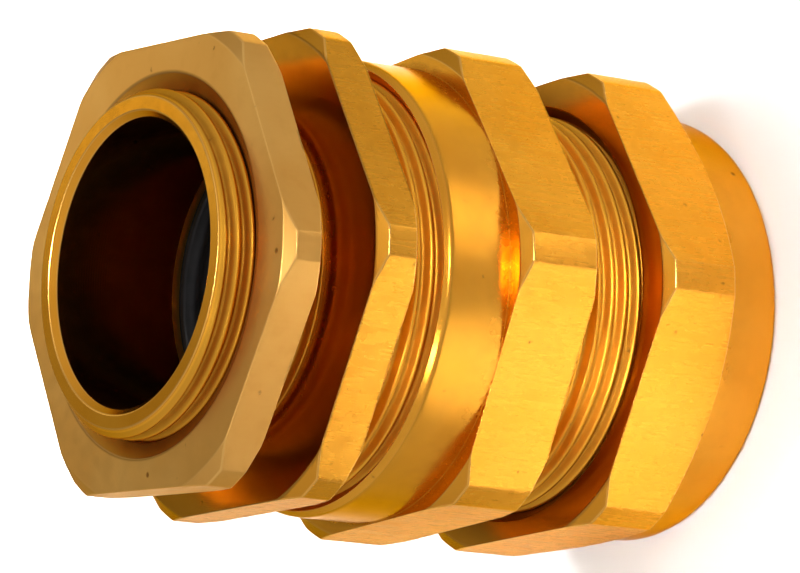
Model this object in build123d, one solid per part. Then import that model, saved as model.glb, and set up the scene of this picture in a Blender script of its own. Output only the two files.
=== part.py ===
from build123d import *
import math
import os

# Brass cable gland for armoured cable, double compression, M32 x 1.5 entry.
# Millimetres. Every piece is a ring on the Z axis. The origin is the centre of the
# face that seats on the enclosure, +Z is the way the entry thread goes in, and the
# cable comes in from -Z. The pieces stand where hand tightening leaves them.

# Threads (the solids are plain at the major diameter)
thread_pitch = 1.5
entry_thread_d = 32.0
entry_thread_len = 11.5
body_thread_len = 8.5          # behind the entry body's hexagon
thread_clearance = 0.05        # radial, a nut's thread over its male thread
thread_runout = 0.2            # spare thread past the deepest position
thread_undercut = 0.75         # bore behind the front thread, this share of the pitch under it
lead_chamfer = 0.8             # start of each male thread

# Floors and mouths
inner_pocket_floor = 1.7       # from the seating face down to the pocket's floor
shoulder_web = 3.6             # metal between the clamp ring's shoulder and the outer pocket
shoulder_cover = 0.75          # hexagon left behind the clamp ring's shoulder
mouth_chamfer = 0.6

# Walls and ledges, radial, working out from the entry thread
entry_wall = 2.7               # leaves the bore for the cable's inner sheath
armour_and_sheath = 1.7        # what the whole cable has over its inner sheath
inner_ledge = 3.7              # inner seal's seat, from the bore out to the pocket
outer_ledge = 1.9              # outer seal's seat
pocket_wall = 3.0              # round the inner pocket, out to the thread's crests
outer_pocket_wall = 2.1
nut_wall = 1.5                 # across a flat, outside the thread
locknut_wall = 4.5

# Hexagons
hex_corner_ratio = 1.12        # corners are turned off to this share of the flats' distance
hex_chamfer = 0.7              # axial length of the turned chamfer at each hexagon end
chamfer_angle = 30.0
locknut_len = 4.0
thread_past_locknut = 2.5
locknut_countersink = 1.6      # radial width
entry_hex_len = 4.4
middle_hex_len = 8.5
seal_hex_len = 9.1
locknut_turned = -3.3          # how far each hexagon stands turned from the entry body's, degrees
middle_turned = 3.0
seal_nut_turned = 1.3

# Middle body's collar and the seal nut's round end
exposed_thread = 4.3           # entry body's thread left showing
collar_relief = 0.1            # the collar's radius is this much under the flats
seal_nut_gap = 7.6             # middle body's thread left showing
round_end_step = 1.0           # the round end's radius is this much under the flats
round_end_len = 6.7
round_end_fillet = 1.3
front_countersink = 0.85       # mouths of the middle body and the seal nut
collar_edge = 0.6

# Travel when tightened
middle_travel = 4.2            # middle body towards the entry body
seal_nut_travel = 3.75         # seal nut towards the middle body

# Pieces inside
ring_clearance = 0.3           # radial, washers, seals and rings in their pockets
seat_washer_len = 1.0
skid_washer_len = 1.0
outer_skid_washer_len = 1.2
inner_seal_len = 6.0
outer_seal_len = 10.0
inner_seal_lip = 0.9           # radial, how far each seal stands into the bore it lines up with
outer_seal_lip = 1.6
seal_chamfer = 0.6
washer_bore_clearance = 0.3    # radial, washers over the bore they line up with
cone_angle = 18.0
cone_tip_wall = 0.9
cone_tip_set_back = 1.0        # from the cone's tip to the clamp ring's shoulder
armour_gap = 1.3               # radial space for the armour wires, at rest
clamp_ring_len = 6.0
clamp_ring_gap = 0.4           # left to the entry body when fully tightened
seal_standout = 1.85           # outer seal past the end of the middle body, at rest

# Sizes that follow
entry_r = entry_thread_d / 2
inner_bore_r = entry_r - entry_wall
cable_bore_r = inner_bore_r + armour_and_sheath
inner_pocket_r = inner_bore_r + inner_ledge
outer_pocket_r = cable_bore_r + outer_ledge
body_thread_r = inner_pocket_r + pocket_wall
seal_thread_r = outer_pocket_r + outer_pocket_wall
body_flats = 2 * (body_thread_r + nut_wall)
locknut_flats = entry_thread_d + 2 * locknut_wall
collar_r = body_flats / 2 - collar_relief
round_end_r = body_flats / 2 - round_end_step
inner_ring_r = inner_pocket_r - ring_clearance
outer_ring_r = outer_pocket_r - ring_clearance
clamp_bore_r = body_thread_r - thread_pitch * thread_undercut
inner_washer_bore_r = inner_bore_r + washer_bore_clearance
outer_washer_bore_r = cable_bore_r + washer_bore_clearance

# Heights that follow
hex_back = -entry_hex_len
entry_end = hex_back - body_thread_len
collar_front = hex_back - exposed_thread

inner_seal_top = -inner_pocket_floor - seat_washer_len
inner_skid_top = inner_seal_top - inner_seal_len
cone_top = inner_skid_top - skid_washer_len
middle_thread_end = entry_end - middle_travel - thread_runout
clamp_ring_top = entry_end - middle_travel - clamp_ring_gap
shoulder = clamp_ring_top - clamp_ring_len
cone_tip = shoulder + cone_tip_set_back
outer_pocket_floor = shoulder - shoulder_web
outer_seal_top = outer_pocket_floor - seat_washer_len
outer_skid_top = outer_seal_top - outer_seal_len
nose_tip = outer_skid_top - outer_skid_washer_len

middle_hex_back = shoulder - shoulder_cover
middle_hex_front = middle_hex_back + middle_hex_len
middle_end = outer_skid_top + seal_standout
seal_nut_front = middle_hex_back - seal_nut_gap
seal_nut_floor = middle_end - seal_nut_travel - thread_runout
seal_hex_back = seal_nut_front - seal_hex_len
gland_end = seal_hex_back - round_end_len
locknut_top = entry_thread_len - thread_past_locknut


def turned(*outline):
    """Solid of revolution about Z from (radius, height) points."""
    face = make_face(Polyline(*outline, close=True))
    return revolve(Plane.XZ * face, Axis.Z)


def washer(bore_r, outer_r, bottom, top):
    return turned((bore_r, bottom), (outer_r, bottom), (outer_r, top), (bore_r, top))


def seal(bore_r, outer_r, bottom, top):
    """Rubber ring, with both outer edges chamfered."""
    return turned(
        (bore_r, bottom),
        (outer_r - seal_chamfer, bottom),
        (outer_r, bottom + seal_chamfer),
        (outer_r, top - seal_chamfer),
        (outer_r - seal_chamfer, top),
        (bore_r, top),
    )


def hexagon(flats, bottom, top, angle, bottom_chamfer=hex_chamfer):
    """Hexagonal bar with its corners turned off, and a turned chamfer at each end."""
    side = flats / math.sqrt(3)
    height = top - bottom
    bar = extrude(RegularPolygon(side, 6, rotation=angle), height).moved(Location((0, 0, bottom)))
    corner_r = flats * hex_corner_ratio / 2
    slope = 1 / math.tan(math.radians(chamfer_angle))
    envelope = turned(
        (0, bottom),
        (corner_r - bottom_chamfer * slope, bottom),
        (corner_r, bottom + bottom_chamfer),
        (corner_r, top - hex_chamfer),
        (corner_r - hex_chamfer * slope, top),
        (0, top),
    )
    return bar & envelope


def male_thread(radius, root, end):
    """Cylinder at the thread's major diameter, from its root to its chamfered end."""
    edge = end - math.copysign(lead_chamfer, end - root)
    return turned((0, root), (radius, root), (radius, edge), (radius - lead_chamfer, end), (0, end))


def locknut():
    bore_r = entry_r + thread_clearance
    top = locknut_top
    bottom = locknut_top - locknut_len
    depth = locknut_countersink * math.tan(math.radians(chamfer_angle))
    hole = turned(
        (0, bottom),
        (bore_r + locknut_countersink, bottom),
        (bore_r, bottom + depth),
        (bore_r, top - depth),
        (bore_r + locknut_countersink, top),
        (0, top),
    )
    return hexagon(locknut_flats, bottom, top, locknut_turned) - hole


def entry_body():
    body = hexagon(body_flats, hex_back, 0, 0)
    body += male_thread(entry_r, 0, entry_thread_len)
    body += male_thread(body_thread_r, hex_back, entry_end)
    hole = turned(
        (0, entry_end),
        (inner_pocket_r, entry_end),
        (inner_pocket_r, -inner_pocket_floor),
        (inner_bore_r, -inner_pocket_floor),
        (inner_bore_r, entry_thread_len - mouth_chamfer),
        (inner_bore_r + mouth_chamfer, entry_thread_len),
        (0, entry_thread_len),
    )
    return body - hole


def armour_cone():
    tip_r = inner_bore_r + cone_tip_wall
    base_r = inner_ring_r
    taper_len = (base_r - tip_r) / math.tan(math.radians(cone_angle))
    return turned(
        (inner_bore_r, cone_top),
        (base_r, cone_top),
        (base_r, cone_tip + taper_len),
        (tip_r, cone_tip),
        (inner_bore_r, cone_tip),
    )


def armour_clamp_ring():
    slope = math.tan(math.radians(cone_angle))
    tip_r = inner_bore_r + cone_tip_wall + armour_gap
    small_r = tip_r - cone_tip_set_back * slope
    large_r = small_r + clamp_ring_len * slope
    outer_r = clamp_bore_r - ring_clearance
    return turned(
        (small_r, shoulder),
        (outer_r, shoulder),
        (outer_r, clamp_ring_top),
        (large_r, clamp_ring_top),
    )


def middle_body():
    body = hexagon(body_flats, middle_hex_back, middle_hex_front, middle_turned)
    body += turned(
        (0, middle_hex_front),
        (collar_r, middle_hex_front),
        (collar_r, collar_front - collar_edge),
        (collar_r - collar_edge, collar_front),
        (0, collar_front),
    )
    body += male_thread(seal_thread_r, middle_hex_back, middle_end)
    thread_r = body_thread_r + thread_clearance
    hole = turned(
        (0, middle_end),
        (outer_pocket_r, middle_end),
        (outer_pocket_r, outer_pocket_floor),
        (cable_bore_r, outer_pocket_floor),
        (cable_bore_r, shoulder),
        (clamp_bore_r, shoulder),
        (clamp_bore_r, middle_thread_end),
        (thread_r, middle_thread_end),
        (thread_r, collar_front - front_countersink),
        (thread_r + front_countersink, collar_front),
        (0, collar_front),
    )
    return body - hole


def seal_nut():
    full_chamfer = (hex_corner_ratio - 1) * body_flats / 2 * math.tan(math.radians(chamfer_angle))
    nut = hexagon(body_flats, seal_hex_back, seal_nut_front, seal_nut_turned, full_chamfer)
    end = Cylinder(round_end_r, round_end_len, align=(Align.CENTER, Align.CENTER, Align.MIN))
    end = fillet(end.edges().sort_by(Axis.Z)[0], round_end_fillet)
    nut += end.moved(Location((0, 0, gland_end)))
    thread_r = seal_thread_r + thread_clearance
    hole = turned(
        (0, gland_end),
        (cable_bore_r + mouth_chamfer, gland_end),
        (cable_bore_r, gland_end + mouth_chamfer),
        (cable_bore_r, nose_tip),
        (outer_ring_r, nose_tip),
        (outer_ring_r, seal_nut_floor),
        (thread_r, seal_nut_floor),
        (thread_r, seal_nut_front - front_countersink),
        (thread_r + front_countersink, seal_nut_front),
        (0, seal_nut_front),
    )
    return nut - hole


pieces = {
    "locknut": locknut(),
    "entry_body": entry_body(),
    "inner_seat_washer": washer(inner_washer_bore_r, inner_ring_r, inner_seal_top, -inner_pocket_floor),
    "inner_seal": seal(inner_bore_r - inner_seal_lip, inner_ring_r, inner_skid_top, inner_seal_top),
    "inner_skid_washer": washer(inner_washer_bore_r, inner_ring_r, cone_top, inner_skid_top),
    "armour_cone": armour_cone(),
    "armour_clamp_ring": armour_clamp_ring(),
    "middle_body": middle_body(),
    "outer_seat_washer": washer(outer_washer_bore_r, outer_ring_r, outer_seal_top, outer_pocket_floor),
    "outer_seal": seal(cable_bore_r - outer_seal_lip, outer_ring_r, outer_skid_top, outer_seal_top),
    "outer_skid_washer": washer(outer_washer_bore_r, outer_ring_r, nose_tip, outer_skid_top),
    "seal_nut": seal_nut(),
}

os.makedirs("parts", exist_ok=True)
for name, piece in pieces.items():
    piece.label = name
    export_step(piece, f"parts/{name}.step")
    print(name, f"{piece.volume / 1000:.2f} cm3")
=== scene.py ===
import math
import bpy
import numpy as np
from mathutils import Matrix, Vector


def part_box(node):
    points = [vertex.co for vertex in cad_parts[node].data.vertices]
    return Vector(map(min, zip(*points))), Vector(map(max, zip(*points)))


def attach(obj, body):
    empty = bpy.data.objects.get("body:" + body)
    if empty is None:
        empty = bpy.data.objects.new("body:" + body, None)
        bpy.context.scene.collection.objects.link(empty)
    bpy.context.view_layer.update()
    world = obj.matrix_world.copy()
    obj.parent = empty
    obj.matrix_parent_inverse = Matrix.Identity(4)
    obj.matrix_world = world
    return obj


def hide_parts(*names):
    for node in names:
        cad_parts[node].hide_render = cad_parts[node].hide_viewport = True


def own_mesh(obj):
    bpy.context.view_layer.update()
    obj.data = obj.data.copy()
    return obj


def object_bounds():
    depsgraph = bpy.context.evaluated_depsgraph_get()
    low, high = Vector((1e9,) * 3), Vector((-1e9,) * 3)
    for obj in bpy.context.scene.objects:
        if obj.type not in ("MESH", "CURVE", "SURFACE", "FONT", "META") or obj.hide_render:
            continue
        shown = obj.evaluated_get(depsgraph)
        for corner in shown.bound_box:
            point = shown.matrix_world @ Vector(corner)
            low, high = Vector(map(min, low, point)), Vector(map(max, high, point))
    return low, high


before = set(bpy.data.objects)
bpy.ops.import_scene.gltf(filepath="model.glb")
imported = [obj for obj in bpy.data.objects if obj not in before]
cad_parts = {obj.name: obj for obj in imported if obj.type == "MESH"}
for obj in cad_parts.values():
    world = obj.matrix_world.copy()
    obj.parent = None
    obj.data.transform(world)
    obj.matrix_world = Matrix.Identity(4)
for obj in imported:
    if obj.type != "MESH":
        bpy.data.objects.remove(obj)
cadLow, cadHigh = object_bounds()
print("frame loaded:", len(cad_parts), "nodes")

mm = 0.001
tan30 = math.tan(math.radians(30))

# every thread on the gland is cut with this form, lengths in mm
thread = {
    "pitch": 1.5,
    "depth": 0.80,         # male crest down to root
    "minorDepth": 0.70,    # nut's crest, under the male crest
    "crestFlat": 0.16,     # width of the flat on a crest
    "straight": 0.25,      # straight share of a flank, the rest rounds it into crest and root
    "clearance": 0.04,     # nut's thread over the male thread
    "runoutGap": 0.03,     # floor of a runout groove, under the root
    "runoutReach": 1.6,    # where a runout groove fades out, in neck lengths from the shoulder
    "rowsPerPitch": 13,
}


def span(node):  # lowest and highest Z of a CAD node, mm
    low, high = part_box(node)
    return low.z / mm, high.z / mm


# Angles round the axis in radians: even steps, with closer ones at the two edges of each turned-off corner,
# which lie landHalf degrees to either side of its middle.
def ringAngles(turned=0.0, landHalf=None, steps=180):
    angles = np.arange(steps) * 360.0 / steps
    if landHalf is not None:
        near = np.array([-0.75, -0.4, -0.2, 0.0, 0.2, 0.4, 0.75])
        corners = turned + 60.0 * np.arange(6)
        edges = np.concatenate([corners - landHalf, corners + landHalf])
        close = (edges[:, None] + near[None, :]).ravel() % 360.0
        gap = np.abs((angles[:, None] - close[None, :] + 180.0) % 360.0 - 180.0).min(axis=1)
        angles = np.concatenate([angles[gap > 0.3], close])
    return np.radians(np.sort(angles))


# Hexagon: radius = half the distance across flats / cos(angle from the middle of the flat), softly held to
# the corner radius, so that the two edges of each corner land are slightly rounded.
def hexRadius(angle, flats, cornerR, turned, soft=0.03):
    fromFlat = np.radians((np.degrees(angle) - turned) % 60.0 - 30.0)
    flat = flats / 2 / np.cos(fromFlat)
    return -soft * np.logaddexp(-flat / soft, -cornerR / soft)


# Angles for a piece with a hexagon, and the hexagon's radius at each. The edge of a corner land is where that
# radius reaches the corner radius.
def hexOutline(values):
    landHalf = 30 - math.degrees(math.acos(values["flats"] / 2 / values["cornerR"]))
    angle = ringAngles(values["turned"], landHalf)
    return angle, hexRadius(angle, values["flats"], values["cornerR"], values["turned"])


def smooth(t):
    t = np.clip(t, 0, 1)
    return t * t * (3 - 2 * t)


# Male thread: radius = crest radius - depth x ramp, where ramp goes 0 to 1 down each rounded flank of
# (z - pitch x turns), so the crest climbs one pitch a turn anticlockwise about +Z.
def maleThread(z, angle, crestR):
    pitch = thread["pitch"]
    phase = (z / pitch - angle / (2 * math.pi)) % 1.0
    away = np.abs(phase - 0.5) * pitch
    ramp = np.clip((away - thread["crestFlat"] / 2) / (pitch / 2 - thread["crestFlat"]), 0, 1)
    ramp = thread["straight"] * ramp + (1 - thread["straight"]) * smooth(ramp)
    return crestR - thread["depth"] * ramp


# Nut thread: the male thread of the same turn plus the clearance, and never inside the nut's own crest.
def nutThread(z, angle, crestR):
    return np.maximum(maleThread(z, angle, crestR) + thread["clearance"], crestR - thread["minorDepth"])


def runoutRadius(crestR):  # floor of the groove where a male thread ends at a shoulder
    return crestR - thread["depth"] - thread["runoutGap"]


# Male thread with its two ends: held under a 45 degree lead, radius = crest radius - lead + distance from the
# end, and necked down to the runout groove where it meets the shoulder.
def maleStrip(z, angle, crestR, shoulder, end, lead, neck):
    thin = smooth(thread["runoutReach"] - np.abs(z - shoulder) / neck)
    r = maleThread(z, angle, crestR)
    r = r + (np.minimum(r, runoutRadius(crestR)) - r) * thin
    return np.minimum(r, crestR - lead + np.abs(end - z))


def threadHeights(start, end):
    count = max(4, int(abs(end - start) / thread["pitch"] * thread["rowsPerPitch"]))
    return np.linspace(start, end, count)[:, None]


# how the sections are cut into rows, lengths in mm
section = {
    "cutLimit": 0.4,                           # most of a side that a corner's rounding may take
    "guard": 0.16,                             # row beyond a rounding, as a share of its cut
    "nearRows": ((0.2, 0.15), (0.7, 0.35)),    # rows near the ends of a run, and the share they may reach
    "faceCut": 0.1,                            # rounding where a hexagon's chamfer meets its face
    "sideCut": 0.14,                           # and where it meets the flats
}


# One corner of a section: a (radius, height) point that may change round the axis, and how far back its
# rounding cuts.
def corner(r, z, cut=0.12, steps=5):
    return {"r": r, "z": z, "cut": cut, "steps": steps}


# A stretch of a section given row by row, such as a thread.
def strip(r, z):
    return {"r": r, "z": z, "cut": None}


# Rows on the straight run from one block of rows to the next, close to both ends so that marks stay at the
# edges.
def straightRows(first, last):
    run = last - first
    length = np.linalg.norm(run, axis=1, keepdims=True) + 1e-9
    near = [np.minimum(distance, most * length) / length for distance, most in section["nearRows"]]
    shares = near + [1 - share for share in reversed(near)]
    return np.stack([first + run * share for share in shares])


# Rows of a section, and a 1 for each row that belongs to a strip. Each corner becomes the parabola
# (1 - t)^2 x start + 2 t (1 - t) x corner + t^2 x finish, which leaves one side and joins the other, with a
# guard row beyond each end so that the flats between stay flat.
def sectionRows(parts, angle):
    blocks = []
    for part in parts:
        r, z = np.broadcast_arrays(part["r"], part["z"])
        rows = r.shape[0] if r.ndim == 2 else 1
        block = np.empty((rows, len(angle), 2))
        block[..., 0] = r
        block[..., 1] = z
        blocks.append(block)
    out = []
    for i, part in enumerate(parts):
        if part["cut"] is None:
            out.append(blocks[i])
            continue
        here = blocks[i][0]
        back = blocks[i - 1][-1] - here
        ahead = blocks[(i + 1) % len(parts)][0] - here
        backLen = np.linalg.norm(back, axis=1, keepdims=True) + 1e-9
        aheadLen = np.linalg.norm(ahead, axis=1, keepdims=True) + 1e-9
        cut = np.minimum(part["cut"], section["cutLimit"] * np.minimum(backLen, aheadLen))
        guard = section["guard"] * cut
        start = here + back / backLen * cut
        finish = here + ahead / aheadLen * cut
        t = np.linspace(0, 1, part["steps"])[:, None, None]
        arc = (1 - t) ** 2 * start + 2 * t * (1 - t) * here + t ** 2 * finish
        first = (start + back / backLen * guard)[None]
        last = (finish + ahead / aheadLen * guard)[None]
        out.append(np.concatenate([first, arc, last]))
    rows, threaded = [], []
    for i, block in enumerate(out):
        rows.append(block)
        threaded.append(np.full(len(block), float(parts[i]["cut"] is None)))
        after = (i + 1) % len(out)
        if parts[i]["cut"] is not None and parts[after]["cut"] is not None:
            rows.append(straightRows(block[-1], out[after][0]))
            threaded.append(np.zeros(len(rows[-1])))
    return np.concatenate(rows), np.concatenate(threaded)


# how the marks follow the shape, curvatures in 1/mm and lengths in mm
marking = {
    "wearCurve": 5.0,         # outward curve that counts as fully worn
    "threadUnworn": 0.85,     # share of the wear taken off cut threads
    "grimeCurve": 3.0,        # inward curve that counts as fully dirty
    "grimeSpread": 0.75,      # share of the grime that reaches the next row
    "grimeAround": 5,         # angle steps to each side that the grime is averaged over
    "boreFade": 4.0,          # depth over which the bore goes dark with painted shade
    "shadeEdge": 0.1,         # how far a painted shade's zone reaches past the surface it is for
    "threadReach": 1.0,       # how far under a thread's crest its painted shade starts
    "milledEdge": 0.02,       # rim of the flats that isn't milled
    "milledDepth": 0.1,       # how far inside the flats' distance a point still counts as on them
}


# Painted shade of recesses: in each zone, between two heights and two radii, it runs evenly from an inner to
# an outer value.
def paintedRecessShade(r, z, zones):
    slack = 0.01    # share of the width, so that points on a zone's edge are in it
    shade = np.zeros(r.shape)
    for lowZ, highZ, innerR, outerR, atInner, atOuter in zones:
        share = (r - innerR) / (outerR - innerR)
        inside = (z > lowZ) & (z < highZ) & (share > -slack) & (share < 1 + slack)
        shade = np.where(inside, np.maximum(shade, atInner + (atOuter - atInner) * share), shade)
    return shade


def faceZone(z, innerR, outerR, shade):  # zone of painted shade on a flat face at one height
    return (z - marking["shadeEdge"], z + marking["shadeEdge"], innerR, outerR, *shade)


# Solid ring: x = r cos(angle), y = r sin(angle), z = height, closed round the axis and round the section.
# Marks go with it: wear, how sharply the surface turns outwards; grime, how sharply it turns inwards; facing,
# how squarely it faces along the axis; threaded, 1 on a cut thread; lathe, 0 on milled flats; and inner, the
# painted shade of its recesses and of a bore, which is given by the height of its mouth and its radius.
def ringObject(name, parts, angle, flatMark=None, bore=None, recesses=()):
    rows, threaded = sectionRows(parts, angle)
    r, z = rows[..., 0], rows[..., 1]
    points = np.stack([r * np.cos(angle), r * np.sin(angle), z], axis=-1)
    count, around = r.shape
    left, right = np.roll(points, 1, axis=1), np.roll(points, -1, axis=1)
    under, over = np.roll(points, 1, axis=0), np.roll(points, -1, axis=0)
    normal = np.cross(right - left, over - under)
    normal /= np.linalg.norm(normal, axis=-1, keepdims=True) + 1e-12

    def bend(a, b):  # curvature along a line of points, outward positive
        toA, toB = a - points, b - points
        sideA = (toA * normal).sum(-1) / ((toA ** 2).sum(-1) + 1e-4)
        sideB = (toB * normal).sum(-1) / ((toB ** 2).sum(-1) + 1e-4)
        return -(sideA + sideB)

    turn = np.maximum(bend(left, right), bend(under, over))
    fold = np.minimum(bend(left, right), bend(under, over))
    wear = np.clip(turn / marking["wearCurve"], 0, 1) * (1 - marking["threadUnworn"] * threaded[:, None])
    grime = np.clip(-fold / marking["grimeCurve"], 0, 1)
    for shift in (1, -1, 2, -2):
        grime = np.maximum(grime, marking["grimeSpread"] * np.roll(grime, shift, axis=0))
    reach = marking["grimeAround"]
    grime = sum(np.roll(grime, shift, axis=1) for shift in range(-reach, reach + 1)) / (2 * reach + 1)
    index = np.arange(count * around).reshape(count, around)
    nextRow = np.roll(index, -1, axis=0)
    faces = np.stack([index, np.roll(index, -1, axis=1), np.roll(nextRow, -1, axis=1), nextRow], axis=-1)
    mesh = bpy.data.meshes.new(name)
    mesh.vertices.add(count * around)
    mesh.vertices.foreach_set("co", (points * mm).astype(np.float32).ravel())
    mesh.loops.add(faces.size)
    mesh.loops.foreach_set("vertex_index", faces.astype(np.int32).ravel())
    mesh.polygons.add(count * around)
    mesh.polygons.foreach_set("loop_start", (np.arange(count * around) * 4).astype(np.int32))
    mesh.update(calc_edges=True)
    mesh.validate()
    mesh.shade_smooth()
    # painted shade in the recesses and down a bore, stored as the inner mark
    inner = paintedRecessShade(r, z, recesses)
    if bore is not None:
        mouth, insideR = bore
        inner = np.where(r < insideR, smooth((mouth - z) / marking["boreFade"]), inner)
    marks = {
        "wear": wear,
        "grime": grime,
        "lathe": flatMark(r, z) if flatMark else np.ones((count, around)),
        "facing": np.abs(normal[..., 2]),
        "threaded": threaded[:, None] + 0 * angle,
        "inner": inner,
    }
    for mark, values in marks.items():
        data = mesh.attributes.new(mark, "FLOAT", "POINT").data
        data.foreach_set("value", values.astype(np.float32).ravel())
    piece = bpy.data.objects.new(name, mesh)
    bpy.context.scene.collection.objects.link(piece)
    return piece


# Side of a hexagon as four section corners from its lower face up to its upper face. The turned chamfer drops
# (corner radius - face radius) x tan 30, so it is deep at the corners and only an edge break on the flats.
def hexSide(across, lower, upper, lowerChamfer, upperChamfer, edgeBreak=0.07):
    def faceRadius(chamfer, cornerR):
        return np.minimum(cornerR - chamfer / tan30, across - edgeBreak)

    cornerR = across.max()
    lowFace = faceRadius(lowerChamfer, cornerR)
    highFace = faceRadius(upperChamfer, cornerR)
    return [
        corner(lowFace, lower, section["faceCut"]),
        corner(across, lower + (across - lowFace) * tan30, section["sideCut"]),
        corner(across, upper - (across - highFace) * tan30, section["sideCut"]),
        corner(highFace, upper, section["faceCut"]),
    ]


# Lathe mark of a piece with a hexagon: 0 on its milled side, between its two faces, and 1 elsewhere.
def milledSide(lower, upper, flats):
    edge = marking["milledEdge"]
    insideR = flats / 2 - marking["milledDepth"]

    def mark(r, z):
        return np.where((z > lower + edge) & (z < upper - edge) & (r > insideR), 0.0, 1.0)
    return mark


def addNode(tree, kind, inputs=None, **settings):
    made = tree.nodes.new(kind)
    for key, value in settings.items():
        setattr(made, key, value)
    for key, value in (inputs or {}).items():
        if isinstance(value, bpy.types.NodeSocket):
            tree.links.new(value, made.inputs[key])
        else:
            made.inputs[key].default_value = value
    return made


def mathNode(tree, operation, a, b, clamp=False):
    return addNode(tree, "ShaderNodeMath", {0: a, 1: b}, operation=operation, use_clamp=clamp).outputs[0]


def plus(tree, a, b, clamp=False):
    return mathNode(tree, "ADD", a, b, clamp)


def minus(tree, a, b):
    return mathNode(tree, "SUBTRACT", a, b)


def times(tree, a, b, clamp=False):
    return mathNode(tree, "MULTIPLY", a, b, clamp)


def rangeNode(tree, value, low, high, outLow=0.0, outHigh=1.0):
    inputs = {"Value": value, "From Min": low, "From Max": high, "To Min": outLow, "To Max": outHigh}
    return addNode(tree, "ShaderNodeMapRange", inputs, interpolation_type="SMOOTHSTEP").outputs[0]


def mixColour(tree, factor, first, second):
    inputs = {0: factor, 6: first, 7: second}    # the colour sockets of the mix node
    return addNode(tree, "ShaderNodeMix", inputs, data_type="RGBA").outputs[2]


def objectCoord(tree):
    return addNode(tree, "ShaderNodeTexCoord").outputs["Object"]


def markNode(tree, mark):
    return addNode(tree, "ShaderNodeAttribute", attribute_name=mark).outputs["Fac"]


def noiseNode(tree, vector, scale, detail):
    inputs = {"Vector": vector, "Scale": scale, "Detail": detail}
    return addNode(tree, "ShaderNodeTexNoise", inputs).outputs[0]


def latheNode(tree, coord, scale, **kind):
    inputs = {"Vector": coord, "Scale": scale, "Distortion": 0.5, "Detail": 1.0, "Detail Scale": 0.5}
    return addNode(tree, "ShaderNodeTexWave", inputs, **kind).outputs["Fac"]


def emptyMaterial(name):
    material = bpy.data.materials.new(name)
    material.use_nodes = True
    material.node_tree.nodes.clear()
    return material, material.node_tree


def closeMaterial(tree, height, inputs):  # bump from a height in mm, the surface shader, and the output
    bump = addNode(tree, "ShaderNodeBump", {"Height": height, "Strength": 1.0, "Distance": mm}).outputs[0]
    shader = addNode(tree, "ShaderNodeBsdfPrincipled", dict(inputs, Normal=bump))
    addNode(tree, "ShaderNodeOutputMaterial", {"Surface": shader.outputs[0]})


# Brass: warm gold that drifts in large clouds, lathe rings where it was turned, drawn streaks along the axis
# on the milled flats, fine scratches and pits, cut threads in a brighter orange that is partly painted glow
# of light bounced between their flanks, brighter worn edges, brown grime in thread roots and inner corners,
# and painted dark brown shade in the recesses and down the bore.
def brassMaterial(name, look):
    material, tree = emptyMaterial(name)
    coord = objectCoord(tree)
    wear = markNode(tree, "wear")
    grime = markNode(tree, "grime")
    lathe = markNode(tree, "lathe")
    facing = markNode(tree, "facing")
    inner = markNode(tree, "inner")
    threaded = markNode(tree, "threaded")
    drawn = addNode(tree, "ShaderNodeMapping", {"Vector": coord, "Scale": look["drawnScale"]}).outputs[0]
    cloud = noiseNode(tree, coord, *look["cloudNoise"])
    mottle = noiseNode(tree, coord, *look["mottleNoise"])
    streak = noiseNode(tree, drawn, *look["streakNoise"])
    grain = noiseNode(tree, coord, *look["grainNoise"])
    rings = latheNode(tree, coord, look["ringScale"], wave_type="RINGS", rings_direction="Z")
    bands = latheNode(tree, coord, look["bandScale"], wave_type="BANDS", bands_direction="Z")
    voronoi = addNode(tree, "ShaderNodeTexVoronoi", {"Vector": coord, "Scale": look["pitScale"]})
    pit = rangeNode(tree, voronoi.outputs["Distance"], *look["pitSize"], 1.0, 0.0)
    pit = times(tree, pit, rangeNode(tree, mottle, *look["pitPatches"]))

    tone = mixColour(tree, rangeNode(tree, cloud, *look["cloudRange"]), look["colour"], look["deepColour"])
    tarnished = rangeNode(tree, mottle, *look["mottleRange"], 0.0, look["mottleShare"])
    tone = mixColour(tree, tarnished, tone, look["tarnish"])
    # cut threads turn a brighter orange: partly their fresh-cut finish, partly painted glow standing in for
    # light bounced between the flanks
    tone = mixColour(tree, times(tree, threaded, look["cutAndGlowShare"]), tone, look["cutAndGlowColour"])
    worn = rangeNode(tree, wear, *look["wearRange"], 0.0, look["wearShare"])
    tone = mixColour(tree, worn, tone, look["wornColour"])
    soil = times(tree, grime, rangeNode(tree, mottle, *look["soilRange"], look["soilLeast"], 1.0))
    soil = times(tree, soil, look["grimeShare"], clamp=True)
    tone = mixColour(tree, soil, tone, look["grimeColour"])
    tone = mixColour(tree, times(tree, pit, look["pitShare"]), tone, look["grimeColour"])
    # painted shade: the inner mark darkens recesses and the bore to dark brown, standing in for the shade
    # that falls there
    tone = mixColour(tree, times(tree, inner, look["paintedShadeShare"]), tone, look["paintedShadeColour"])

    rough = rangeNode(tree, mottle, *look["roughRange"], *look["roughness"])
    milled = minus(tree, 1.0, lathe)
    milled = times(tree, milled, rangeNode(tree, facing, *look["chamferRange"], 1.0, 0.0))
    rough = plus(tree, rough, times(tree, milled, look["flatRoughness"]))
    drawnRough = rangeNode(tree, streak, *look["streakRange"], 0.0, look["streakRoughness"])
    rough = plus(tree, rough, times(tree, drawnRough, milled))
    rough = plus(tree, rough, times(tree, threaded, look["threadRoughness"]))
    rough = plus(tree, rough, times(tree, soil, look["soilRoughness"]), clamp=True)

    rings = times(tree, rings, facing)
    bands = times(tree, bands, minus(tree, 1.0, facing))
    turned = times(tree, plus(tree, rings, bands), lathe)
    height = times(tree, turned, look["ringDepth"])
    height = plus(tree, height, times(tree, times(tree, streak, milled), look["streakDepth"]))
    height = plus(tree, height, times(tree, grain, look["grainDepth"]))
    height = plus(tree, height, times(tree, mottle, look["waveDepth"]))
    height = minus(tree, height, times(tree, pit, look["pitDepth"]))
    closeMaterial(tree, height, {"Base Color": tone, "Metallic": 1.0, "Roughness": rough,
                                 "Specular Tint": look["edgeTint"]})
    return material


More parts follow.
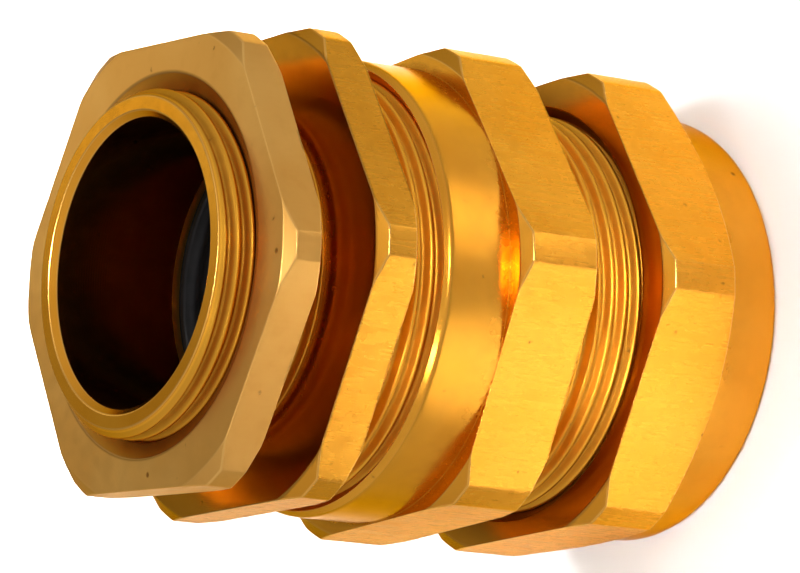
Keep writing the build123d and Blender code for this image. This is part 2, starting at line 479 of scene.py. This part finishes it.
# Moulded rubber: near black with a grey bloom in clouds, paler worn edges, and a fine pebbled skin.
def rubberMaterial(name, look):
    material, tree = emptyMaterial(name)
    coord = objectCoord(tree)
    wear = markNode(tree, "wear")
    cloud = noiseNode(tree, coord, *look["cloudNoise"])
    skin = noiseNode(tree, coord, *look["skinNoise"])
    tone = mixColour(tree, rangeNode(tree, cloud, *look["cloudRange"]), look["colour"], look["bloom"])
    worn = rangeNode(tree, wear, *look["wearRange"], 0.0, look["wearShare"])
    tone = mixColour(tree, worn, tone, look["edgeColour"])
    rough = rangeNode(tree, cloud, *look["roughRange"], *look["roughness"])
    closeMaterial(tree, times(tree, skin, look["skinDepth"]),
                  {"Base Color": tone, "Roughness": rough, "Specular IOR Level": look["specular"]})
    return material


# finish of the polished brass: depths in mm, a noise as scale and detail, a range as where it starts and ends
brightBrass = {
    "colour": (0.84, 0.365, 0.035, 1.0),
    "deepColour": (0.79, 0.32, 0.026, 1.0),
    "edgeTint": (0.88, 0.66, 0.36, 1.0),
    "cloudNoise": (90.0, 3.0),
    "cloudRange": (0.35, 0.65),
    "tarnish": (0.58, 0.24, 0.03, 1.0),
    "mottleNoise": (650.0, 5.0),
    "mottleRange": (0.5, 0.75),
    "mottleShare": 0.10,
    # brighter orange of cut threads, partly painted glow of bounced light
    "cutAndGlowColour": (0.97, 0.45, 0.04, 1.0),
    "cutAndGlowShare": 0.8,
    "threadRoughness": 0.14,
    "wornColour": (1.0, 0.60, 0.18, 1.0),
    "wearRange": (0.15, 0.8),
    "wearShare": 0.35,
    "grimeColour": (0.16, 0.05, 0.012, 1.0),
    "grimeShare": 0.3,
    "soilRange": (0.25, 0.6),       # where in the mottle the grime lies thick
    "soilLeast": 0.55,              # and its share where it lies thin
    "soilRoughness": 0.3,
    # colour and share of the painted shade in recesses and down the bore
    "paintedShadeColour": (0.085, 0.018, 0.006, 1.0),
    "paintedShadeShare": 0.9,
    "roughness": (0.19, 0.235),
    "roughRange": (0.3, 0.7),
    "flatRoughness": 0.05,          # added on the milled flats
    "chamferRange": (0.05, 0.3),    # facing at which a milled flat gives way to a turned chamfer
    "drawnScale": (1.0, 1.0, 0.05),
    "streakNoise": (3200.0, 3.0),
    "streakRange": (0.4, 0.7),
    "streakRoughness": 0.05,
    "streakDepth": 0.004,
    "ringScale": 1500.0,            # lathe rings about 0.2 mm apart on the faces
    "bandScale": 1200.0,            # and along the axis
    "ringDepth": 0.0007,
    "grainNoise": (7000.0, 2.0),
    "grainDepth": 0.0012,
    "waveDepth": 0.0015,
    "pitScale": 420.0,
    "pitSize": (0.05, 0.16),        # distance from a pit's middle, in cells
    "pitPatches": (0.56, 0.66),     # where in the mottle there are pits
    "pitShare": 0.75,
    "pitDepth": 0.02,
}
lockBrass = dict(brightBrass, colour=(0.86, 0.46, 0.115, 1.0), deepColour=(0.80, 0.40, 0.09, 1.0),
                 roughness=(0.28, 0.34), grainDepth=0.0025)
dullBrass = dict(brightBrass, colour=(0.82, 0.47, 0.10, 1.0), deepColour=(0.72, 0.38, 0.07, 1.0),
                 roughness=(0.3, 0.42), ringScale=1100.0, bandScale=880.0, ringDepth=0.002)
gripRubber = {
    "colour": (0.012, 0.012, 0.013, 1.0),
    "bloom": (0.03, 0.03, 0.032, 1.0),
    "cloudNoise": (220.0, 4.0),
    "cloudRange": (0.4, 0.72),
    "edgeColour": (0.05, 0.05, 0.05, 1.0),
    "wearRange": (0.2, 0.9),
    "wearShare": 0.5,
    "roughness": (0.5, 0.72),
    "roughRange": (0.3, 0.7),
    "specular": 0.22,
    "skinNoise": (5200.0, 3.0),
    "skinDepth": 0.006,
}
brassFinish = brassMaterial("brightBrass", brightBrass)
lockFinish = brassMaterial("lockBrass", lockBrass)
turnedFinish = brassMaterial("dullBrass", dullBrass)
rubberFinish = rubberMaterial("gripRubber", gripRubber)
print("finishes made")


def place(piece, node, body, finish):
    piece.data.materials.append(finish)
    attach(piece, body)
    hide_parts(node)
    print("made", piece.name, len(piece.data.polygons), "faces")


# thin nut on the entry thread, countersunk wide on both faces; here and below, the first value of a painted
# shade is the one nearest the axis
lockNut = {
    "flats": 41.0,
    "cornerR": 22.96,
    "turned": -3.3,
    "threadR": 16.0,
    "sinkR": 17.65,
    "chamfer": 0.7,
    "threadEnd": 0.08,           # distance from a face to the first row of thread
    "frontDepth": 1.6,           # depth of the painted shade in each countersink
    "backDepth": 1.4,
    "frontShade": (0.8, 0.6),
    "backShade": (0.8, 0.7),
    "faceShade": (0.7, 0.45),    # painted shade on the face that looks at the body
}


def makeLockNut(values):
    lower, upper = span("locknut")
    angle, across = hexOutline(values)
    z = threadHeights(upper - values["threadEnd"], lower + values["threadEnd"])
    sink = values["sinkR"] - np.minimum(upper - z, z - lower) / tan30
    bore = np.maximum(nutThread(z, angle, values["threadR"]), sink)
    parts = hexSide(across, lower, upper, values["chamfer"], values["chamfer"])
    parts += [corner(values["sinkR"], upper, 0.08), strip(bore, z), corner(values["sinkR"], lower, 0.08)]
    edge = marking["shadeEdge"]
    sinkZone = (values["threadR"] - marking["threadReach"], values["sinkR"] + edge)
    # painted shade in both countersinks and on the face towards the body
    recesses = [
        (upper - values["frontDepth"], upper + edge, *sinkZone, *values["frontShade"]),
        (lower - edge, lower + values["backDepth"], *sinkZone, *values["backShade"]),
        faceZone(lower, values["sinkR"] - edge, values["flats"] / 2, values["faceShade"]),
    ]
    piece = ringObject("lock_nut", parts, angle, milledSide(lower, upper, values["flats"]), recesses=recesses)
    place(piece, "locknut", "locknut", lockFinish)


# entry body: entry thread, thin hexagon, and the larger thread that the middle body runs on
entryBody = {
    "flats": 43.0,
    "cornerR": 24.08,
    "turned": 0.0,
    "chamfer": 0.7,
    "hexBack": -4.4,
    "entryR": 16.0,
    "bodyR": 20.0,
    "boreR": 13.3,
    "pocketR": 17.0,
    "pocketFloor": -1.7,
    "lead": 0.8,
    "mouth": 0.6,
    "neck": 0.5,                 # length of the groove where each thread runs out
    "threadEnd": 0.2,            # distance from a thread's free end to its first row
    "shoulderGap": 0.1,          # and from the shoulder to its last
    "seatShade": (0.1, 0.55),
    "backShade": (0.7, 0.3),
    "threadShade": (0.35, 0.12),
    "boreRise": 0.8,             # how far above the tip the bore's painted shade begins
    "boreSkin": 0.05,            # how far past the bore's radius it reaches
}


def makeEntryBody(values):
    end, tip = span("entry_body")
    angle, across = hexOutline(values)
    lead, back = values["lead"], values["hexBack"]
    rear = threadHeights(end + values["threadEnd"], back - values["shoulderGap"])
    front = threadHeights(values["shoulderGap"], tip - values["threadEnd"])
    parts = [
        corner(values["pocketR"], end, 0.15),
        corner(values["bodyR"] - lead, end, 0.12),
        strip(maleStrip(rear, angle, values["bodyR"], back, end, lead, values["neck"]), rear),
        corner(runoutRadius(values["bodyR"]), back, 0.06),
    ]
    parts += hexSide(across, back, 0.0, values["chamfer"], values["chamfer"])
    parts += [
        corner(runoutRadius(values["entryR"]), 0.0, 0.06),
        strip(maleStrip(front, angle, values["entryR"], 0.0, tip, lead, values["neck"]), front),
        corner(values["entryR"] - lead, tip, 0.1),
        corner(values["boreR"] + values["mouth"], tip, 0.1),
        corner(values["boreR"], tip - values["mouth"], 0.1),
        corner(values["boreR"], values["pocketFloor"], 0.1),
        corner(values["pocketR"], values["pocketFloor"], 0.1),
    ]
    threadInR = values["entryR"] - marking["threadReach"]
    threadOutR = values["entryR"] + marking["shadeEdge"]
    # painted shade on the seat face, down the entry thread and on the back face
    recesses = [
        faceZone(0.0, threadInR, values["cornerR"], values["seatShade"]),
        (0.0, tip - values["threadEnd"], threadInR, threadOutR, *values["threadShade"]),
        faceZone(back, values["bodyR"] - marking["threadReach"], values["cornerR"], values["backShade"]),
    ]
    # painted shade down the bore from just above the tip
    bore = (tip + values["boreRise"], values["boreR"] + values["boreSkin"])
    piece = ringObject("entry_body_threaded", parts, angle, milledSide(back, 0.0, values["flats"]),
                       bore=bore, recesses=recesses)
    place(piece, "entry_body", "entry_body", brassFinish)


# middle body: round collar over the front thread, hexagon, and the seal nut's thread
middleBody = {
    "flats": 43.0,
    "cornerR": 24.08,
    "turned": 3.0,
    "chamfer": 0.7,
    "hexFront": -15.75,
    "hexBack": -24.25,
    "collarR": 21.4,
    "collarEdge": 0.55,
    "lipR": 20.85,
    "frontR": 20.0,
    "threadFloor": -17.3,
    "clampR": 18.875,
    "shoulder": -23.5,
    "cableR": 15.0,
    "pocketFloor": -27.1,
    "pocketR": 16.9,
    "rearR": 19.0,
    "lead": 0.8,
    "neck": 0.35,
    "threadEnd": 0.2,
    "shoulderGap": 0.1,
    "backShade": (0.7, 0.3),
}


def makeMiddleBody(values):
    end, lip = span("middle_body")
    angle, across = hexOutline(values)
    lead, back, front = values["lead"], values["hexBack"], values["hexFront"]
    rear = threadHeights(end + values["threadEnd"], back - values["shoulderGap"])
    inner = threadHeights(lip - 0.12, values["threadFloor"] + 0.08)
    sink = values["lipR"] - (lip - inner)
    parts = [
        corner(values["pocketR"], end, 0.12),
        corner(values["rearR"] - lead, end, 0.12),
        strip(maleStrip(rear, angle, values["rearR"], back, end, lead, values["neck"]), rear),
        corner(runoutRadius(values["rearR"]), back, 0.06),
    ]
    parts += hexSide(across, back, front, values["chamfer"], values["chamfer"], 0.04)
    parts += [
        corner(values["collarR"], front, 0.05),
        corner(values["collarR"], lip - values["collarEdge"], 0.3, 6),
        corner(values["lipR"], lip, 0.08),
        strip(np.maximum(nutThread(inner, angle, values["frontR"]), sink), inner),
        corner(values["frontR"] + 0.02, values["threadFloor"], 0.05),
        corner(values["clampR"], values["threadFloor"], 0.1),
        corner(values["clampR"], values["shoulder"], 0.1),
        corner(values["cableR"], values["shoulder"], 0.1),
        corner(values["cableR"], values["pocketFloor"], 0.1),
        corner(values["pocketR"], values["pocketFloor"], 0.1),
    ]
    threadInR = values["rearR"] - marking["threadReach"]
    # painted shade on the back face
    recesses = [faceZone(back, threadInR, values["cornerR"], values["backShade"])]
    piece = ringObject("middle_body_collared", parts, angle, milledSide(back, front, values["flats"]),
                       recesses=recesses)
    place(piece, "middle_body", "middle_body", brassFinish)


# seal nut: hexagon with its rear corners turned right off, and a round end
sealNut = {
    "flats": 43.0,
    "cornerR": 24.08,
    "turned": 1.3,
    "chamfer": 0.7,
    "hexBack": -40.95,
    "roundR": 20.5,
    "roundCut": 1.5,
    "threadR": 19.0,
    "sinkR": 19.9,
    "threadFloor": -40.2,
    "nose": -39.3,
    "noseR": 16.6,
    "holeR": 15.0,
    "mouth": 0.6,
    "sinkDepth": 1.0,            # depth of the painted shade in the countersink
    "sinkShade": (0.9, 0.85),
    "faceShade": (0.8, 0.1),
}


def makeSealNut(values):
    end, front = span("seal_nut")
    angle, across = hexOutline(values)
    inner = threadHeights(front - 0.1, values["threadFloor"] + 0.08)
    sink = values["sinkR"] - (front - inner)
    rearChamfer = (across.max() - values["flats"] / 2) * tan30
    parts = [
        corner(values["holeR"] + values["mouth"], end, 0.12),
        corner(values["roundR"], end, values["roundCut"], 9),
        corner(values["roundR"], values["hexBack"], 0.06),
    ]
    parts += hexSide(across, values["hexBack"], front, rearChamfer, values["chamfer"], 0.04)
    parts += [
        corner(values["sinkR"], front, 0.08),
        strip(np.maximum(nutThread(inner, angle, values["threadR"]), sink), inner),
        corner(values["threadR"] + 0.02, values["threadFloor"], 0.05),
        corner(values["noseR"], values["threadFloor"], 0.06),
        corner(values["noseR"], values["nose"], 0.1),
        corner(values["holeR"], values["nose"], 0.1),
        corner(values["holeR"], end + values["mouth"], 0.12),
    ]
    sinkZone = (values["threadR"] - marking["threadReach"], values["sinkR"] + 0.05)
    # painted shade in the countersink and on the front face
    recesses = [
        (front - values["sinkDepth"], front + marking["shadeEdge"], *sinkZone, *values["sinkShade"]),
        faceZone(front, values["sinkR"], values["cornerR"], values["faceShade"]),
    ]
    flatMark = milledSide(values["hexBack"], front, values["flats"])
    piece = ringObject("seal_nut_round_end", parts, angle, flatMark, recesses=recesses)
    place(piece, "seal_nut", "seal_nut", brassFinish)


# flat washers with broken edges: body that each rides, bore radius, outer radius
washers = {
    "inner_seat_washer": ("locknut_link", 13.6, 16.7),
    "inner_skid_washer": ("cone", 13.6, 16.7),
    "outer_seat_washer": ("middle_body", 15.3, 16.6),
    "outer_skid_washer": ("outer_washer", 15.3, 16.6),
}


def makeWashers(values):
    angle = ringAngles(steps=144)
    for node, (body, boreR, outerR) in values.items():
        lower, upper = span(node)
        parts = [
            corner(boreR, lower, 0.12),
            corner(outerR, lower, 0.18),
            corner(outerR, upper, 0.18),
            corner(boreR, upper, 0.12),
        ]
        place(ringObject(node + "_turned", parts, angle), node, body, turnedFinish)


# the armour wires are gripped between these two, so both tapers carry fine rings
armourGrip = {
    "coneBore": 13.3,
    "coneBase": 16.7,
    "coneTip": 14.2,
    "taperFoot": -14.806,
    "ringOuter": 18.575,
    "ringSmall": 15.175,
    "ringLarge": 17.125,
    "ribPitch": 0.6,
    "ribDepth": 0.08,
    "ribFade": 0.125,            # share of a taper over which its ribs fade out
}


# Ribbed taper: radius runs straight from one end to the other, plus sign x rib depth x
# (1 - cos(2 pi x height / rib pitch)) / 2, which fades out at both ends.
def ribbedTaper(z, zStart, rStart, zEnd, rEnd, sign):
    share = (z - zStart) / (zEnd - zStart)
    ribs = 0.5 - 0.5 * np.cos(2 * math.pi * (z - zStart) / armourGrip["ribPitch"])
    fade = smooth(share / armourGrip["ribFade"]) * smooth((1 - share) / armourGrip["ribFade"])
    return rStart + (rEnd - rStart) * share + sign * armourGrip["ribDepth"] * ribs * fade


def makeArmourGrip(values):
    angle = ringAngles(steps=144)
    lower, upper = span("armour_cone")
    foot = values["taperFoot"]
    z = np.linspace(lower + 0.2, foot - 0.1, 90)[:, None] + 0 * angle
    parts = [
        corner(values["coneBore"], lower, 0.12),
        corner(values["coneTip"], lower, 0.12),
        strip(ribbedTaper(z, lower, values["coneTip"], foot, values["coneBase"], -1), z),
        corner(values["coneBase"], foot, 0.15),
        corner(values["coneBase"], upper, 0.15),
        corner(values["coneBore"], upper, 0.12),
    ]
    place(ringObject("armour_cone_ribbed", parts, angle), "armour_cone", "cone", turnedFinish)
    lower, upper = span("armour_clamp_ring")
    z = np.linspace(upper - 0.2, lower + 0.2, 80)[:, None] + 0 * angle
    parts = [
        corner(values["ringSmall"], lower, 0.12),
        corner(values["ringOuter"], lower, 0.2),
        corner(values["ringOuter"], upper, 0.2),
        corner(values["ringLarge"], upper, 0.12),
        strip(ribbedTaper(z, lower, values["ringSmall"], upper, values["ringLarge"], 1), z),
    ]
    place(ringObject("armour_clamp_ring_ribbed", parts, angle), "armour_clamp_ring", "clamp_ring",
          turnedFinish)


# rubber seals, moulded with soft ribs inside; each also lists its joint, anchor and keep, a share of its
# length
seals = {
    "inner_seal": {
        "body": "entry_body",
        "boreR": 12.4,
        "outerR": 16.7,
        "ribs": 3,
        "joint": "cone_travel",
        "anchor": -0.0027,
        "keep": 0.7333,
    },
    "outer_seal": {
        "body": "middle_body",
        "boreR": 13.4,
        "outerR": 16.6,
        "ribs": 5,
        "joint": "outer_washer_travel",
        "anchor": -0.0281,
        "keep": 0.625,
    },
}
sealForm = {
    "ribHalf": 0.22,       # half a rib's height
    "ribEnd": 0.45,        # distance from an end to the ribs
    "rowsPerRib": 24,
    "mouth": 0.5,          # how much wider the bore is at its ends
    "bevel": 0.6,
}


# Ribbed bore: radius = bore radius + half a rib's height x (1 + cos(2 pi x ribs x share of the length)).
def makeSeals(values):
    angle = ringAngles(steps=144)
    for node, seal in values.items():
        lower, upper = span(node)
        count = sealForm["rowsPerRib"] * seal["ribs"]
        z = np.linspace(upper - sealForm["ribEnd"], lower + sealForm["ribEnd"], count)[:, None] + 0 * angle
        share = (z - lower) / (upper - lower)
        bore = seal["boreR"] + sealForm["ribHalf"] * (1 + np.cos(2 * math.pi * seal["ribs"] * share))
        mouthR, outerR, bevel = seal["boreR"] + sealForm["mouth"], seal["outerR"], sealForm["bevel"]
        parts = [
            corner(mouthR, lower, 0.3, 6),
            corner(outerR - bevel, lower, 0.25, 6),
            corner(outerR, lower + bevel, 0.3, 6),
            corner(outerR, upper - bevel, 0.3, 6),
            corner(outerR - bevel, upper, 0.25, 6),
            corner(mouthR, upper, 0.3, 6),
            strip(bore, z),
        ]
        piece = ringObject(node + "_moulded", parts, angle)
        place(piece, node, seal["body"], rubberFinish)
        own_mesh(piece)


makeLockNut(lockNut)
makeEntryBody(entryBody)
makeMiddleBody(middleBody)
makeSealNut(sealNut)
makeWashers(washers)
makeArmourGrip(armourGrip)
makeSeals(seals)

# pale floor that the gland stands on, and the sky round it; metres
studio = {
    "floorHalf": 2.5,
    "floorPoints": 40,             # along each side
    "floorColour": (0.86, 0.86, 0.855, 1.0),
    "floorPatch": (0.84, 0.84, 0.83, 1.0),
    "floorNoise": (35.0, 3.0),
    "floorRange": (0.3, 0.7),
    "floorRoughness": 0.9,
    "floorSpecular": 0.1,
    "skyColour": (1.0, 1.0, 1.0, 1.0),
    "skyBright": 0.62,
    "skyDim": 0.34,                # behind the gland, where the faces mirror it
    "dimSide": (-0.84, 0.20, 0.50),
    "dimRange": (0.45, 0.95),      # cosine from the dim side at which the sky starts to dim and is dimmest
}


def makeFloor(values):
    count = values["floorPoints"]
    side = np.linspace(-values["floorHalf"], values["floorHalf"], count)
    x, y = np.meshgrid(side, side, indexing="ij")
    points = np.stack([x, y, np.full_like(x, cadLow.z)], axis=-1)
    index = np.arange(count * count).reshape(count, count)
    faces = np.stack([index[:-1, :-1], index[1:, :-1], index[1:, 1:], index[:-1, 1:]], axis=-1).reshape(-1, 4)
    mesh = bpy.data.meshes.new("studio_floor")
    mesh.from_pydata(points.reshape(-1, 3).tolist(), [], faces.tolist())
    floor = bpy.data.objects.new("studio_floor", mesh)
    bpy.context.scene.collection.objects.link(floor)
    material = bpy.data.materials.new("paleFloor")
    material.use_nodes = True
    tree = material.node_tree
    shader = tree.nodes["Principled BSDF"]
    speck = noiseNode(tree, objectCoord(tree), *values["floorNoise"])
    patches = rangeNode(tree, speck, *values["floorRange"])
    tone = mixColour(tree, patches, values["floorColour"], values["floorPatch"])
    tree.links.new(tone, shader.inputs["Base Color"])
    shader.inputs["Roughness"].default_value = values["floorRoughness"]
    shader.inputs["Specular IOR Level"].default_value = values["floorSpecular"]
    mesh.materials.append(material)


# Sky: strength falls smoothly from bright to dim as (direction . dim side) goes through the dim range.
def makeSky(values):
    world = bpy.data.worlds.new("studioWorld")
    bpy.context.scene.world = world
    world.use_nodes = True
    tree = world.node_tree
    background = tree.nodes["Background"]
    background.inputs["Color"].default_value = values["skyColour"]
    direction = addNode(tree, "ShaderNodeTexCoord").outputs["Generated"]
    toDimSide = addNode(tree, "ShaderNodeVectorMath", {0: direction, 1: values["dimSide"]},
                        operation="DOT_PRODUCT").outputs["Value"]
    strength = rangeNode(tree, toDimSide, *values["dimRange"], values["skyBright"], values["skyDim"])
    tree.links.new(strength, background.inputs["Strength"])


# soft panels: where each stands, the point it faces, width and height, watts, spread of its light in degrees,
# and the direction its width runs along; a narrow spread lights only a patch of floor, which the flats mirror
panels = {
    "overheadPanel": {
        "at": (-0.1, 0.1, 0.62),
        "to": (0.0, 0.0, -0.02),
        "size": (0.5, 0.5),
        "power": 0.25,
        "spread": 180,
        "along": (1, 0, 0),
    },
    "backPanel": {
        "at": (-0.10, 0.034, 0.33),
        "to": (-0.10, 0.032, -0.048),
        "size": (0.16, 0.08),
        "power": 0.20,
        "spread": 22,
        "along": (1, 0, 0),
    },
    "footPanel": {
        "at": (0.28, 0.06, 0.18),
        "to": (0.022, 0.020, -0.048),
        "size": (0.07, 0.07),
        "power": 0.0115,
        "spread": 14,
        "along": (0, 0, 1),
    },
    "edgePanel": {
        "at": (0.16, -0.16, 0.22),
        "to": (0.012, -0.030, -0.048),
        "size": (0.05, 0.05),
        "power": 0.007,
        "spread": 12,
        "along": (0, 0, 1),
    },
    "lowPanel": {
        "at": (0.077, -0.058, 0.13),
        "to": (0.060, -0.045, -0.048),
        "size": (0.065, 0.028),
        "power": 0.125,
        "spread": 11,
        "along": (0.79, -0.61, 0),
    },
    "sidePanel": {
        "at": (0.070, 0.038, 0.13),
        "to": (0.066, 0.034, -0.048),
        "size": (0.03, 0.02),
        "power": 0.0105,
        "spread": 9,
        "along": (0.5, 0.87, 0),
    },
    "faceCard": {
        "at": (-0.230, 0.068, 0.155),
        "to": (0.02, 0.014, 0.002),
        "size": (0.03, 0.03),
        "power": 0.0026,
        "spread": 180,
        "along": (0, 1, 0),
    },
    "facePanel": {
        "at": (-0.25, 0.16, 0.17),
        "to": (0.0, 0.0, 0.01),
        "size": (0.14, 0.14),
        "power": 0.02,
        "spread": 180,
        "along": (0, 1, 0),
    },
}


def makePanel(name, panel):
    light = bpy.data.lights.new(name, "AREA")
    light.shape = "RECTANGLE"
    light.size, light.size_y = panel["size"]
    light.energy = panel["power"]
    light.spread = math.radians(panel["spread"])
    lamp = bpy.data.objects.new(name, light)
    bpy.context.scene.collection.objects.link(lamp)
    lamp.location = panel["at"]
    back = (Vector(panel["at"]) - Vector(panel["to"])).normalized()
    across = Vector(panel["along"])
    across = (across - back * across.dot(back)).normalized()
    lamp.rotation_mode = "QUATERNION"
    lamp.rotation_quaternion = Matrix((across, back.cross(across), back)).transposed().to_quaternion()


makeFloor(studio)
makeSky(studio)
for panelName, panelValues in panels.items():
    makePanel(panelName, panelValues)
print("studio lit")

# camera: 0.46 m off on a long lens, rolled on its side
view = {
    "at": (0.382243, -0.081001, 0.245447),
    "right": (0.570063, 0.013084, -0.821497),
    "up": (0.135664, 0.984649, 0.109824),
    "lens": 226.44,          # mm
    "sensor": 36.0,          # mm
    "clip": (0.01, 20.0),
}


def makeCamera(values):
    camera = bpy.data.objects.new("camera", bpy.data.cameras.new("camera"))
    bpy.context.scene.collection.objects.link(camera)
    right, up = Vector(values["right"]), Vector(values["up"])
    camera.location = values["at"]
    camera.rotation_mode = "QUATERNION"
    camera.rotation_quaternion = Matrix((right, up, right.cross(up))).transposed().to_quaternion()
    camera.data.lens = values["lens"]
    camera.data.sensor_width = values["sensor"]
    camera.data.clip_start, camera.data.clip_end = values["clip"]
    bpy.context.scene.camera = camera


makeCamera(view)
bpy.context.scene.view_settings.view_transform = "Standard"
print("camera placed")
